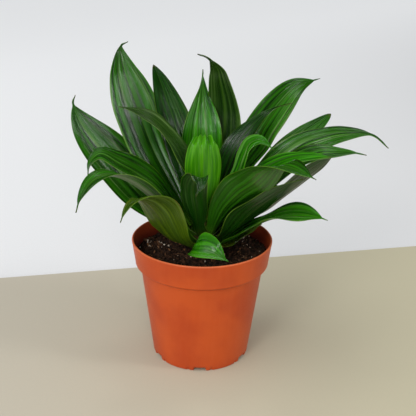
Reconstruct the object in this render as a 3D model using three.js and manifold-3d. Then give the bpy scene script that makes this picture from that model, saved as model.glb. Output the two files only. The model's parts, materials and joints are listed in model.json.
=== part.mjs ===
// A compact dracaena in a plastic nursery pot.
//
// Frame: millimetres, +Z up. The origin is the centre of the pot's underside, on the surface it
// stands on; +X is the right of the plant's front view and +Y points to its back.
// Pieces: the pot, the bed of potting mix, the stem with its root crown, and each leaf on its own.

import * as THREE from 'three';
import { mergeVertices } from 'three/addons/utils/BufferGeometryUtils.js';
import Module from 'manifold-3d';

const wasm = await Module();
wasm.setup();

// ---------------------------------------------------------------- driving dimensions (mm)

const POT = {
  height: 96,
  rimRadius: 54,
  bandHeight: 19,
  bandFootRadius: 51.5,
  neckRadius: 47.5,
  neckDrop: 3,
  baseRadius: 38,
  wall: 1.6,
  lipRound: 0.8,
  edgeBevel: 1,
  floorTop: 4.2,
  channelTop: 2.6,
  footRingWidth: 5,
  padRadius: 14,
  segments: 48,
};

const DRAIN = { count: 6, firstAngle: 270, slotWidth: 9, holeInner: 20, holeOuter: 28, overcut: 3 };

const SOIL = {
  topHeight: 84,
  crownRise: 1.5,
  ripple: 0.9,
  rippleLobes: 5,
  rippleReach: 4,
  edgeSpread: 0.6,
  fit: 0.4,
  segments: 36,
};

const STEM = {
  tipHeight: 126,
  neckHeight: 118,
  collarTop: 102,
  rootDepth: 56,
  rootRadius: 5,
  collarRadius: 7.5,
  neckRadius: 5.5,
  shoulder: 2,
  fit: 0.4,
  segments: 16,
};

const LEAF = {
  ribThickness: 1.0,
  edgeThickness: 0.6,
  baseWidth: 7,
  tailWidth: 1.4,
  baseFold: 24,
  baseFoldReach: 0.1,
  rollReach: 0.45,
  trough: 1.4,
  rise: 0.8,
  tailFlare: 0.3,
  stations: 12,
  across: 4,
};

// Each leaf: the compass angle it leaves the stem at (0 = right, 90 = back), its greatest width and
// where along the rib that is, how deep its trough is folded, how its blade is rolled about its rib
// at mid length and at the tip, the length of its drip tip, and the points of its rib, each as
// [distance from the stem's axis, height, step sideways where the rib leaves its upright plane].
const LEAVES = [
  { name: 'leaf_left_outer', angle: 165, width: 31, widest: 0.6, fold: 12, roll: [-37, -42], tail: 9,
    rib: [[9, 90], [43, 119], [67, 144], [94, 174], [103, 191], [101, 199]] },
  { name: 'leaf_left_arching', angle: 188, width: 28, widest: 0.5, fold: 14, roll: [-20, -20], tail: 5,
    rib: [[9, 98], [33, 134], [49, 148], [63, 157], [75, 164], [83, 157], [85, 145]] },
  { name: 'leaf_left_drooping', angle: 212, width: 30, widest: 0.5, fold: 14, roll: [8, 0], tail: 5,
    rib: [[9, 92], [32, 122], [48, 140], [64, 153], [77, 158], [88, 155], [97, 145], [101, 135]] },
  { name: 'leaf_front_left_broad', angle: 229, width: 26, widest: 0.5, fold: 10, roll: [38, 10], tail: 3,
    rib: [[9, 89], [26, 101], [36, 116], [44, 129], [54, 139], [64, 144], [73, 143], [79, 138], [83, 132]] },
  { name: 'leaf_back_left_tall', angle: 140, width: 31, widest: 0.64, fold: 12, roll: [-24, -30], tail: 9,
    rib: [[8, 104], [34, 133], [54, 159], [74, 197], [83, 215], [86, 231], [78, 236]] },
  { name: 'leaf_left_inner_arching', angle: 202, width: 24, widest: 0.5, fold: 12, roll: [-35, -25], tail: 4,
    rib: [[7, 114], [10, 138], [15, 156], [22, 171], [31, 182], [40, 191], [51, 198], [63, 202]] },
  { name: 'leaf_back_left_dark', angle: 122, width: 26, widest: 0.5, fold: 12, roll: [-20, -20], tail: 0,
    rib: [[8, 109], [24, 143], [40, 171], [52, 187], [66, 204], [79, 216]] },
  { name: 'leaf_centre_upright', angle: 96, width: 27, widest: 0.4, fold: 14, roll: [0, 0], tail: 4,
    rib: [[5, 124], [13, 144], [17, 161], [18, 176], [21, 193], [22, 208], [14, 222]] },
  { name: 'leaf_back_right_tailed', angle: 56, width: 27, widest: 0.42, fold: 12, roll: [0, 0], tail: 16,
    rib: [[7, 115], [24, 160], [28, 183], [26, 198], [20, 214], [16, 223], [4, 232], [-9, 236]] },
  { name: 'leaf_centre_front', angle: 270, width: 23, widest: 0.6, fold: 10, roll: [0, 0], tail: 0,
    rib: [[7, 116], [15, 134], [21, 153], [26, 170], [26, 178], [19, 181], [12, 178]] },
  { name: 'leaf_right_inner_twisted', angle: 9, width: 26, widest: 0.45, fold: 12, roll: [60, 0], tail: 3,
    rib: [[6, 121], [13, 135], [19, 153], [27, 171, 2], [41, 186, 5], [54, 193, 10], [70, 195, 19]] },
  { name: 'leaf_right_small_arching', angle: -22, width: 17, widest: 0.55, fold: 12, roll: [45, 20], tail: 3,
    rib: [[7, 119, -1], [20, 136, -5], [31, 152, -3], [37, 168], [39, 178], [47, 181], [53, 176]] },
  { name: 'leaf_back_right_tall', angle: 35, width: 32, widest: 0.52, fold: 12, roll: [14, 35], tail: 6,
    rib: [[8, 110], [23, 132], [34, 148], [48, 162], [57, 176], [72, 192], [89, 204], [112, 208]] },
  { name: 'leaf_right_blunt', angle: 18, width: 22, widest: 0.6, fold: 12, roll: [30, 30], tail: 0,
    rib: [[9, 97], [40, 131], [61, 153], [77, 167], [92, 179], [102, 187]] },
  { name: 'leaf_right_long', angle: 2, width: 27, widest: 0.52, fold: 12, roll: [30, 30], tail: 16,
    rib: [[8, 103], [39, 135], [59, 157], [74, 169], [89, 175], [103, 178], [123, 178], [137, 168]] },
  { name: 'leaf_right_level', angle: -14, width: 24, widest: 0.5, fold: 12, roll: [25, 30], tail: 6,
    rib: [[8, 107], [28, 130], [50, 146], [71, 163], [84, 170], [95, 172], [107, 173], [117, 172]] },
  { name: 'leaf_right_ribbed', angle: -29, width: 24, widest: 0.5, fold: 12, roll: [25, 30], tail: 3,
    rib: [[7, 110], [23, 131], [39, 148], [53, 158], [65, 166], [76, 171], [87, 174], [98, 176]] },
  { name: 'leaf_front_right_arching', angle: -50, width: 29, widest: 0.58, fold: 8, roll: [-40, 25], tail: 4,
    rib: [[9, 98], [14, 110], [24, 127], [39, 143], [53, 154], [67, 167], [80, 173], [94, 174], [110, 172]] },
  { name: 'leaf_front_right_dark', angle: -29, width: 29, widest: 0.5, fold: 10, roll: [-27, -15], tail: 4,
    rib: [[9, 92], [26, 107], [41, 125], [57, 140], [70, 152], [79, 157]] },
  { name: 'leaf_right_broad', angle: -1, width: 36, widest: 0.6, fold: 8, roll: [-32, -40], tail: 4,
    rib: [[9, 95], [24, 104], [36, 112], [55, 127], [72, 142], [86, 155], [98, 167]] },
  { name: 'leaf_right_low', angle: -10, width: 29, widest: 0.6, fold: 10, roll: [-8, 20], tail: 4,
    rib: [[9, 89], [25, 98], [35, 106], [45, 112], [57, 118], [70, 121], [82, 121], [94, 118]] },
  { name: 'leaf_right_narrow', angle: 14, width: 14, widest: 0.5, fold: 12, roll: [0, 0], tail: 3,
    rib: [[9, 86], [19, 88], [29, 92], [38, 98], [48, 103]] },
  { name: 'leaf_front_small', angle: 262, width: 28, widest: 0.55, fold: -15, roll: [30, 0], tail: 3,
    rib: [[9, 86], [16, 92], [24, 99, 4], [30, 100, 11], [35, 94, 22]] },
  { name: 'leaf_front_folded', angle: 257, width: 18, widest: 0.6, fold: 12, roll: [0, 0], tail: 3,
    rib: [[9, 101], [19, 121], [29, 141], [37, 153, 3], [42, 158, 8], [47, 155, 10], [50, 147, 7]] },
  { name: 'leaf_back_low_right', angle: 42, width: 28, widest: 0.5, fold: 12, roll: [0, 0], tail: 5,
    rib: [[9, 89], [34, 104], [56, 116], [78, 120], [92, 116]] },
  { name: 'leaf_back_right', angle: 66, width: 28, widest: 0.5, fold: 12, roll: [0, 0], tail: 5,
    rib: [[9, 101], [34, 124], [58, 139], [80, 146], [96, 144]] },
  { name: 'leaf_back_middle', angle: 90, width: 27, widest: 0.5, fold: 12, roll: [0, 0], tail: 5,
    rib: [[9, 91], [32, 110], [54, 124], [76, 130], [90, 126]] },
  { name: 'leaf_back_left', angle: 112, width: 28, widest: 0.5, fold: 12, roll: [0, 0], tail: 5,
    rib: [[9, 94], [32, 117], [52, 136], [72, 147], [86, 145]] },
  { name: 'leaf_back_low_left', angle: 136, width: 27, widest: 0.5, fold: 12, roll: [0, 0], tail: 5,
    rib: [[9, 87], [32, 103], [54, 116], [74, 120], [86, 116]] },
];

// ---------------------------------------------------------------- materials

function finish(color, roughness) {
  return new THREE.MeshStandardMaterial({ color, roughness, metalness: 0 });
}

const potPlastic = finish(0xc8603a, 0.5);
const pottingMix = finish(0x2a1d15, 0.95);
const stemGreen = finish(0x6f7d3a, 0.6);
const leafGreen = finish(0x1f6a1c, 0.35);

// ---------------------------------------------------------------- helpers

const radians = THREE.MathUtils.degToRad;

function piece(name, geometry, material) {
  const mesh = new THREE.Mesh(geometry, material);
  mesh.name = name;
  return mesh;
}

// A lathe turns its profile of [radius, height] pairs about Y, so it is stood up along Z.
function lathe(profile, segments) {
  const points = profile.map(([radius, height]) => new THREE.Vector2(radius, height));
  return new THREE.LatheGeometry(points, segments).rotateX(Math.PI / 2);
}

function toSolid(geometry) {
  const bare = geometry.clone();
  bare.deleteAttribute('normal');
  bare.deleteAttribute('uv');
  const merged = mergeVertices(bare, 1e-4);
  const triVerts = new Uint32Array(merged.index.array);
  const vertProperties = new Float32Array(merged.attributes.position.array);
  return new wasm.Manifold(new wasm.Mesh({ numProp: 3, vertProperties, triVerts }));
}

function toGeometry(solid) {
  const mesh = solid.getMesh();
  const geometry = new THREE.BufferGeometry();
  geometry.setAttribute('position', new THREE.BufferAttribute(new Float32Array(mesh.vertProperties), 3));
  geometry.setIndex(new THREE.BufferAttribute(new Uint32Array(mesh.triVerts), 1));
  return geometry;
}

// ---------------------------------------------------------------- pot

// The outer wall's radius at a height below the neck.
function wallRadius(height) {
  const neckHeight = POT.height - POT.bandHeight - POT.neckDrop;
  return THREE.MathUtils.mapLinear(height, 0, neckHeight, POT.baseRadius, POT.neckRadius);
}

function potProfile() {
  const bandFoot = POT.height - POT.bandHeight;
  const neck = bandFoot - POT.neckDrop;
  const ringInner = POT.baseRadius - POT.footRingWidth;
  return [
    [0, 0],
    [POT.padRadius, 0],
    [POT.padRadius + POT.edgeBevel, POT.channelTop],
    [ringInner - POT.edgeBevel, POT.channelTop],
    [ringInner, 0],
    [POT.baseRadius - POT.lipRound, 0],
    [wallRadius(POT.lipRound), POT.lipRound],
    [POT.neckRadius, neck],
    [POT.bandFootRadius - POT.edgeBevel, bandFoot - POT.lipRound],
    [POT.bandFootRadius, bandFoot],
    [POT.rimRadius, POT.height - POT.lipRound],
    [POT.rimRadius - POT.lipRound, POT.height],
    [POT.rimRadius - POT.wall, POT.height],
    [POT.bandFootRadius - POT.wall, bandFoot],
    [POT.neckRadius - POT.wall, neck],
    [wallRadius(POT.floorTop) - POT.wall, POT.floorTop],
    [0, POT.floorTop],
  ];
}

// Each drain is a slot through the foot ring at its edge and a hole up through the floor behind it.
function drainCutters(angle) {
  const slotOuter = POT.baseRadius + DRAIN.overcut;
  const slotInner = DRAIN.holeInner;
  const slot = new THREE.BoxGeometry(slotOuter - slotInner, DRAIN.slotWidth, 2 * POT.channelTop);
  slot.translate((slotOuter + slotInner) / 2, 0, 0);
  const hole = new THREE.BoxGeometry(DRAIN.holeOuter - DRAIN.holeInner, DRAIN.slotWidth, 4 * POT.floorTop);
  hole.translate((DRAIN.holeOuter + DRAIN.holeInner) / 2, 0, 0);
  return [slot, hole].map((cutter) => toSolid(cutter.rotateZ(radians(angle))));
}

function buildPot() {
  let solid = toSolid(lathe(potProfile(), POT.segments));
  for (let i = 0; i < DRAIN.count; i += 1) {
    for (const cutter of drainCutters(DRAIN.firstAngle + (360 / DRAIN.count) * i)) {
      solid = solid.subtract(cutter);
    }
  }
  return piece('pot', toGeometry(solid), potPlastic);
}

// ---------------------------------------------------------------- potting mix and stem

function stemProfile(fit) {
  return [
    [0, STEM.rootDepth - fit],
    [STEM.rootRadius + fit, STEM.rootDepth + STEM.shoulder - fit],
    [STEM.collarRadius + fit, SOIL.topHeight - STEM.shoulder],
    [STEM.collarRadius + fit, STEM.collarTop],
    [STEM.neckRadius + fit, STEM.neckHeight],
    [0, STEM.tipHeight + fit],
  ];
}

// The bed fills the pot up to its top; its open surface rises to the stem and ripples slightly.
function buildSoil() {
  const bandFoot = POT.height - POT.bandHeight;
  const neck = bandFoot - POT.neckDrop;
  const gap = POT.wall + SOIL.fit;
  const edgeRadius = POT.bandFootRadius - gap + SOIL.edgeSpread;
  const holeRadius = STEM.collarRadius + STEM.fit;
  const surface = [1, 0.75, 0.5, 0.25].map((share) => [
    THREE.MathUtils.lerp(holeRadius, edgeRadius, share),
    SOIL.topHeight + SOIL.crownRise * (1 - share),
  ]);
  const profile = [
    [0, POT.floorTop + SOIL.fit],
    [wallRadius(POT.floorTop) - gap, POT.floorTop + SOIL.fit],
    [POT.neckRadius - gap, neck],
    [POT.bandFootRadius - gap, bandFoot],
    ...surface,
    [holeRadius, SOIL.topHeight + SOIL.crownRise],
    [holeRadius, SOIL.topHeight - STEM.shoulder],
    [STEM.rootRadius + STEM.fit, STEM.rootDepth + STEM.shoulder - STEM.fit],
    [0, STEM.rootDepth - STEM.fit],
  ];
  const geometry = lathe(profile, SOIL.segments);
  const position = geometry.attributes.position;
  for (let i = 0; i < position.count; i += 1) {
    if (position.getZ(i) >= SOIL.topHeight) {
      const x = position.getX(i);
      const y = position.getY(i);
      const radius = Math.hypot(x, y);
      const swell = Math.sin(SOIL.rippleLobes * Math.atan2(y, x) + radius / SOIL.rippleReach);
      const clearOfStem = radius > holeRadius + SOIL.fit ? 1 : 0;
      position.setZ(i, position.getZ(i) + SOIL.ripple * swell * clearOfStem);
    }
  }
  return piece('potting_mix', geometry, pottingMix);
}

function buildStem() {
  return piece('stem', lathe(stemProfile(0), STEM.segments), stemGreen);
}

// ---------------------------------------------------------------- leaves

function direction(degrees) {
  return new THREE.Vector3(Math.cos(radians(degrees)), Math.sin(radians(degrees)), 0);
}

// The rib runs smoothly through its points, in the upright plane of the leaf's compass angle.
function ribCurve(leaf) {
  const outward = direction(leaf.angle);
  const sideways = direction(leaf.angle + 90);
  const points = leaf.rib.map(([reach, height, step = 0]) => (
    new THREE.Vector3(0, 0, height).addScaledVector(outward, reach).addScaledVector(sideways, step)
  ));
  return new THREE.CatmullRomCurve3(points, false, 'catmullrom', 0.5);
}

// Lance-shaped: widest at leaf.widest of the blade, then drawn out into the drip tip. The two
// powers put the lance's peak there, and a clasping sheath takes over at the base.
function halfWidth(leaf, along, length) {
  const blade = Math.min(along / (1 - leaf.tail / length), 1);
  const peak = leaf.widest;
  const fall = (LEAF.rise * (1 - peak)) / peak;
  const lance = (blade / peak) ** LEAF.rise * ((1 - blade) / (1 - peak)) ** fall;
  const sheath = (LEAF.baseWidth / leaf.width) * (1 - blade) ** 4;
  const half = 0.5 * leaf.width * Math.max(lance, sheath);
  return Math.max(half, 0.5 * LEAF.tailWidth * (1 + LEAF.tailFlare * (1 - 2 * along)));
}

function rollAt(leaf, along) {
  const [middle, tip] = leaf.roll;
  if (along < LEAF.rollReach) {
    return middle * Math.sin((Math.PI / 2) * (along / LEAF.rollReach));
  }
  return THREE.MathUtils.lerp(middle, tip, THREE.MathUtils.smoothstep(along, LEAF.rollReach, 1));
}

// One row of points across the blade: the upper face first, then the under face.
function bladeRow(leaf, curve, along, length) {
  const centre = curve.getPointAt(along);
  const forward = curve.getTangentAt(along);
  const side = direction(leaf.angle + 90);
  side.addScaledVector(forward, -side.dot(forward)).normalize();
  const upward = new THREE.Vector3().crossVectors(forward, side);
  const roll = radians(rollAt(leaf, along));
  const across = side.clone().multiplyScalar(Math.cos(roll)).addScaledVector(upward, Math.sin(roll));
  const normal = new THREE.Vector3().crossVectors(forward, across);
  const half = halfWidth(leaf, along, length);
  const fold = leaf.fold + (LEAF.baseFold - leaf.fold) * Math.exp(-along / LEAF.baseFoldReach);
  const upper = [];
  const under = [];
  for (let j = 0; j <= LEAF.across; j += 1) {
    const u = (2 * j) / LEAF.across - 1;
    const lift = half * Math.tan(radians(fold)) * Math.abs(u) ** LEAF.trough;
    const thick = THREE.MathUtils.lerp(LEAF.ribThickness, LEAF.edgeThickness, u * u);
    const middle = centre.clone().addScaledVector(across, half * u).addScaledVector(normal, lift);
    upper.push(middle.clone().addScaledVector(normal, thick / 2));
    under.push(middle.clone().addScaledVector(normal, -thick / 2));
  }
  return [...upper, ...under];
}

function leafGeometry(leaf) {
  const curve = ribCurve(leaf);
  const length = curve.getLength();
  const row = 2 * (LEAF.across + 1);
  const under = LEAF.across + 1;
  const points = [];
  for (let i = 0; i <= LEAF.stations; i += 1) {
    points.push(...bladeRow(leaf, curve, i / LEAF.stations, length));
  }
  const index = [];
  const quad = (a, b, c, d) => index.push(a, b, c, a, c, d);
  for (let i = 0; i < LEAF.stations; i += 1) {
    const here = i * row;
    const next = here + row;
    for (let j = 0; j < LEAF.across; j += 1) {
      quad(here + j, next + j, next + j + 1, here + j + 1);
      quad(here + under + j, here + under + j + 1, next + under + j + 1, next + under + j);
    }
    const far = LEAF.across;
    quad(here, here + under, next + under, next);
    quad(here + far, next + far, next + under + far, here + under + far);
  }
  const end = LEAF.stations * row;
  for (let j = 0; j < LEAF.across; j += 1) {
    quad(j, j + 1, under + j + 1, under + j);
    quad(end + j, end + under + j, end + under + j + 1, end + j + 1);
  }
  const geometry = new THREE.BufferGeometry().setFromPoints(points);
  geometry.setIndex(index);
  return geometry;
}

function buildLeaves() {
  return LEAVES.map((leaf) => piece(leaf.name, leafGeometry(leaf), leafGreen));
}

// ---------------------------------------------------------------- assembly

const group = new THREE.Group();
group.add(buildPot(), buildSoil(), buildStem(), ...buildLeaves());

export default group;
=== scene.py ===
"""A compact dracaena in a plastic nursery pot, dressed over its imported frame.

Sizes inside the classes are millimetres, as a grower would measure them, and MM turns them into
metres when a mesh is made.  The origin is the centre of the pot's underside, +X is the right of
the plant's front view and +Y points to its back.
"""

import json
import logging
import math
from dataclasses import dataclass, field
from enum import Enum

import bpy
import numpy as np
from mathutils import Matrix, Vector

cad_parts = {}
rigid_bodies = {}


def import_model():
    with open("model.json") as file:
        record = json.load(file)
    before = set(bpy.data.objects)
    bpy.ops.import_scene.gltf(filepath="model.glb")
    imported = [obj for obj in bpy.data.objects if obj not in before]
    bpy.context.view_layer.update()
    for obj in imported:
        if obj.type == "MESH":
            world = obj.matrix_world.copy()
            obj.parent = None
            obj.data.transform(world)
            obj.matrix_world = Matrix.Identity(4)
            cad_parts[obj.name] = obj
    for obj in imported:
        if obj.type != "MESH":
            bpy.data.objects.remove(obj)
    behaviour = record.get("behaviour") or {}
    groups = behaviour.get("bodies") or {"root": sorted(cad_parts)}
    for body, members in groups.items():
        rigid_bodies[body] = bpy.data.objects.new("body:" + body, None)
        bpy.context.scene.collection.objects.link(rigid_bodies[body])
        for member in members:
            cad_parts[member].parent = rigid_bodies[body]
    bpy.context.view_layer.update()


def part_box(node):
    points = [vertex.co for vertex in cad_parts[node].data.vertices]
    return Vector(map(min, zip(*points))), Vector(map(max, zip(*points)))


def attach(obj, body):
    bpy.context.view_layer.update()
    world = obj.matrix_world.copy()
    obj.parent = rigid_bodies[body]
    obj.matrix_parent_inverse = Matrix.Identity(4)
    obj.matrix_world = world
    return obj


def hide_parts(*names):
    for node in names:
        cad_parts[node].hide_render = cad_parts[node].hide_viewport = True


for leftover in list(bpy.data.objects):
    bpy.data.objects.remove(leftover)

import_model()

logging.basicConfig(level=logging.INFO, format="%(levelname)s %(message)s")
log = logging.getLogger("dracaena")

MM = 0.001
Colour = tuple[float, float, float]


# ------------------------------------------------------------------ shared helpers


def srgb(red: int, green: int, blue: int) -> Colour:
    """Linear colour of a display colour given as three numbers from 0 to 255.

    Args:
        red, green, blue: the display colour.

    Returns:
        The same colour with the display curve taken off each channel.
    """
    channels = np.array([red, green, blue]) / 255
    curve = np.where(channels <= 0.04045, channels / 12.92, ((channels + 0.055) / 1.055) ** 2.4)
    return tuple(float(c) for c in curve)


def smoothstep(low: float, high: float, value: np.ndarray) -> np.ndarray:
    """0 below low, 1 above high, and the cubic 3t^2 - 2t^3 of the share t in between."""
    share = np.clip((value - low) / (high - low), 0, 1)
    return share * share * (3 - 2 * share)


def direction(degrees: float) -> np.ndarray:
    """Level unit vector at a compass angle, 0 to the right and 90 to the back."""
    angle = math.radians(degrees)
    return np.array([math.cos(angle), math.sin(angle), 0.0])


def add_object(name: str, data: bpy.types.ID) -> bpy.types.Object:
    """A new object for a mesh, lamp or camera, put into the scene."""
    piece = bpy.data.objects.new(name, data)
    bpy.context.scene.collection.objects.link(piece)
    return piece


def aimed(heading: Vector) -> Matrix:
    """The turn that points a lamp's -Z along a heading."""
    return heading.to_track_quat("-Z", "Y").to_matrix().to_4x4()


def grid_faces(rows: int, columns: int, closed: bool = False) -> np.ndarray:
    """Quads over a grid of points that is stored row by row.

    Args:
        rows: points along the first parameter.
        columns: points along the second parameter.
        closed: whether the last column joins the first one.

    Returns:
        An array of four point numbers a quad.
    """
    row = np.arange(rows - 1)[:, None]
    column = np.arange(columns if closed else columns - 1)[None, :]
    ahead = (column + 1) % columns
    here, above = row * columns, (row + 1) * columns
    quads = np.stack([here + column, here + ahead, above + ahead, above + column], axis=-1)
    return quads.reshape(-1, 4)


def fan(pole: int, row_start: int, columns: int, over: bool) -> np.ndarray:
    """Triangles from a pole to a closed row of points, facing up where over is true."""
    column = row_start + np.arange(columns)
    ahead = row_start + (np.arange(columns) + 1) % columns
    pair = (column, ahead) if over else (ahead, column)
    return np.stack([np.full(columns, pole), *pair], -1)


@dataclass
class Surface:
    """Points, faces and point attributes gathered before they go into one mesh."""

    points: np.ndarray
    faces: list[np.ndarray]
    uv: np.ndarray | None = None
    attributes: dict[str, np.ndarray] = field(default_factory=dict)

    def volume(self) -> float:
        """Signed volume: each face's fan of triangles against the origin, summed."""
        total = 0.0
        for faces in self.faces:
            first = self.points[faces[:, 0]]
            for corner in range(1, faces.shape[1] - 1):
                second = self.points[faces[:, corner]]
                third = self.points[faces[:, corner + 1]]
                total += float(np.einsum("ij,ij->", first, np.cross(second, third))) / 6
        return total

    def facing_out(self) -> "Surface":
        """The same surface with its faces turned round if they enclose a negative volume."""
        if self.volume() < 0:
            self.faces = [faces[:, ::-1] for faces in self.faces]
        return self

    def to_object(self, name: str, sharp: float | None = None) -> bpy.types.Object:
        """Makes the mesh object, smooth shaded.

        Args:
            name: the piece's name.
            sharp: edges that turn more than this many degrees are kept crisp.

        Returns:
            The object, at the origin, with its place in its mesh.
        """
        mesh = bpy.data.meshes.new(name)
        loops = np.concatenate([faces.reshape(-1) for faces in self.faces]).astype(np.int32)
        sides = np.concatenate([np.full(len(f), f.shape[1]) for f in self.faces])
        starts = np.concatenate([[0], np.cumsum(sides)[:-1]]).astype(np.int32)
        mesh.vertices.add(len(self.points))
        mesh.vertices.foreach_set("co", (self.points * MM).astype(np.float32).reshape(-1))
        mesh.loops.add(len(loops))
        mesh.loops.foreach_set("vertex_index", loops)
        mesh.polygons.add(len(starts))
        mesh.polygons.foreach_set("loop_start", starts)
        mesh.update(calc_edges=True)
        mesh.polygons.foreach_set("use_smooth", np.ones(len(starts), dtype=bool))
        if self.uv is not None:
            layer = mesh.uv_layers.new(name="UVMap")
            layer.data.foreach_set("uv", self.uv[loops].astype(np.float32).reshape(-1))
        for label, values in self.attributes.items():
            attribute = mesh.attributes.new(label, "FLOAT", "POINT")
            attribute.data.foreach_set("value", values.astype(np.float32).reshape(-1))
        mesh.validate()
        if sharp is not None:
            mesh.set_sharp_from_angle(angle=math.radians(sharp))
        return add_object(name, mesh)


def place(piece: bpy.types.Object, slot: str, material: bpy.types.Material, *nodes: str) -> None:
    """Dresses a piece, ties it to the root body and lets it stand for CAD nodes.

    Args:
        piece: the finished object.
        slot: the record's material slot; not used.
        material: its material.
        nodes: the CAD nodes that it stands for.
    """
    piece.data.materials.append(material)
    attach(piece, "root")
    if nodes:
        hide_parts(*nodes)
    log.info("%s: %d faces", piece.name, len(piece.data.polygons))


# ------------------------------------------------------------------ node building


class Nodes:
    """A short hand for laying out shader nodes in a material or a group."""

    def __init__(self, tree: bpy.types.NodeTree) -> None:
        """Keeps the tree that nodes are added to."""
        self.tree = tree

    def add(self, kind: str, **settings: object) -> bpy.types.Node:
        """Adds a node of that kind and sets its properties."""
        node = self.tree.nodes.new(kind)
        for name, value in settings.items():
            setattr(node, name, value)
        return node

    def feed(self, socket: bpy.types.NodeSocket, value: object) -> None:
        """Links an output socket to an input, or sets the input's own value."""
        if isinstance(value, bpy.types.NodeSocket):
            self.tree.links.new(value, socket)
        elif isinstance(value, tuple) and len(value) == 3 and socket.type == "RGBA":
            socket.default_value = (*value, 1.0)
        else:
            socket.default_value = value

    def coordinates(self, kind: str) -> bpy.types.NodeSocket:
        """Texture coordinates of that kind."""
        return self.add("ShaderNodeTexCoord").outputs[kind]

    def attribute(self, name: str) -> bpy.types.NodeSocket:
        """A point attribute's value."""
        return self.add("ShaderNodeAttribute", attribute_name=name).outputs["Fac"]

    def axes(self, vector: object) -> bpy.types.bpy_prop_collection:
        """The X, Y and Z of a vector."""
        node = self.add("ShaderNodeSeparateXYZ")
        self.feed(node.inputs[0], vector)
        return node.outputs

    def times(self, first: object, second: object) -> bpy.types.NodeSocket:
        """First times second."""
        return self.math("MULTIPLY", first, second)

    def plus(self, first: object, second: object, clamp: bool = False) -> bpy.types.NodeSocket:
        """First plus second."""
        return self.math("ADD", first, second, clamp=clamp)

    def math(self, operation: str, *values: object, clamp: bool = False) -> bpy.types.NodeSocket:
        """One Math node on the given values.

        Args:
            operation: the Math node's operation.
            values: numbers or sockets for its inputs, in order.
            clamp: whether the result is held between 0 and 1.

        Returns:
            The result's socket.
        """
        node = self.add("ShaderNodeMath", operation=operation, use_clamp=clamp)
        for socket, value in zip(node.inputs, values):
            self.feed(socket, value)
        return node.outputs[0]

    def ramp(self, value: object, low: float, high: float, start: float = 0.0,
             end: float = 1.0) -> bpy.types.NodeSocket:
        """Smooth Map Range of a value from low..high to start..end."""
        node = self.add("ShaderNodeMapRange", interpolation_type="SMOOTHSTEP")
        for socket, setting in zip(node.inputs, (value, low, high, start, end)):
            self.feed(socket, setting)
        return node.outputs[0]

    def mix(self, factor: object, first: object, second: object,
            blend: str = "MIX") -> bpy.types.NodeSocket:
        """Colour mix of first and second by factor."""
        node = self.add("ShaderNodeMix", data_type="RGBA", blend_type=blend)
        self.feed(node.inputs[0], factor)
        self.feed(node.inputs[6], first)
        self.feed(node.inputs[7], second)
        return node.outputs[2]

    def stretched(self, vector: object, scale: tuple[float, float, float],
                  shift: object | None = None) -> bpy.types.NodeSocket:
        """A vector times scale, and then plus shift where there is one."""
        node = self.add("ShaderNodeVectorMath", operation="MULTIPLY")
        self.feed(node.inputs[0], vector)
        self.feed(node.inputs[1], scale)
        if shift is None:
            return node.outputs[0]
        moved = self.add("ShaderNodeVectorMath", operation="ADD")
        self.feed(moved.inputs[0], node.outputs[0])
        self.feed(moved.inputs[1], shift)
        return moved.outputs[0]

    def noise(self, vector: object, scale: float, detail: float = 2.0,
              roughness: float = 0.5) -> bpy.types.NodeSocket:
        """Noise texture's value, near 0.5 on average."""
        node = self.add("ShaderNodeTexNoise")
        self.feed(node.inputs["Vector"], vector)
        self.feed(node.inputs["Scale"], scale)
        self.feed(node.inputs["Detail"], detail)
        self.feed(node.inputs["Roughness"], roughness)
        return node.outputs[0]


@dataclass(frozen=True)
class Port:
    """A socket on a shader group: its name, kind and starting value."""

    name: str
    kind: str
    value: object = None


def new_group(name: str, inputs: tuple[Port, ...], outputs: tuple[Port, ...]) -> bpy.types.NodeTree:
    """An empty shader group with its sockets.

    Args:
        name: the group's name.
        inputs: what goes into it.
        outputs: what it puts out.

    Returns:
        The node tree, with its input and output nodes named Group Input and Group Output.
    """
    tree = bpy.data.node_groups.new(name, "ShaderNodeTree")
    for in_out, ports in (("INPUT", inputs), ("OUTPUT", outputs)):
        for port in ports:
            socket = tree.interface.new_socket(name=port.name, in_out=in_out, socket_type=port.kind)
            if port.value is not None:
                colour = isinstance(port.value, tuple)
                socket.default_value = (*port.value, 1.0) if colour else port.value
    tree.nodes.new("NodeGroupInput").name = "Group Input"
    tree.nodes.new("NodeGroupOutput").name = "Group Output"
    return tree


def new_material(name: str) -> tuple[bpy.types.Material, Nodes, bpy.types.Node]:
    """A node material and its Principled shader.

    Args:
        name: the material's name.

    Returns:
        The material, a node layer for its tree, and the shader node.
    """
    material = bpy.data.materials.new(name)
    material.use_nodes = True
    nodes = Nodes(material.node_tree)
    return material, nodes, material.node_tree.nodes["Principled BSDF"]


def bump(nodes: Nodes, shader: bpy.types.Node, height: object, strength: float,
         distance: float) -> None:
    """Feeds a height through a Bump node into the shader's Normal."""
    node = nodes.add("ShaderNodeBump")
    nodes.feed(node.inputs["Strength"], strength)
    nodes.feed(node.inputs["Distance"], distance)
    nodes.feed(node.inputs["Height"], height)
    nodes.feed(shader.inputs["Normal"], node.outputs[0])


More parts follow.
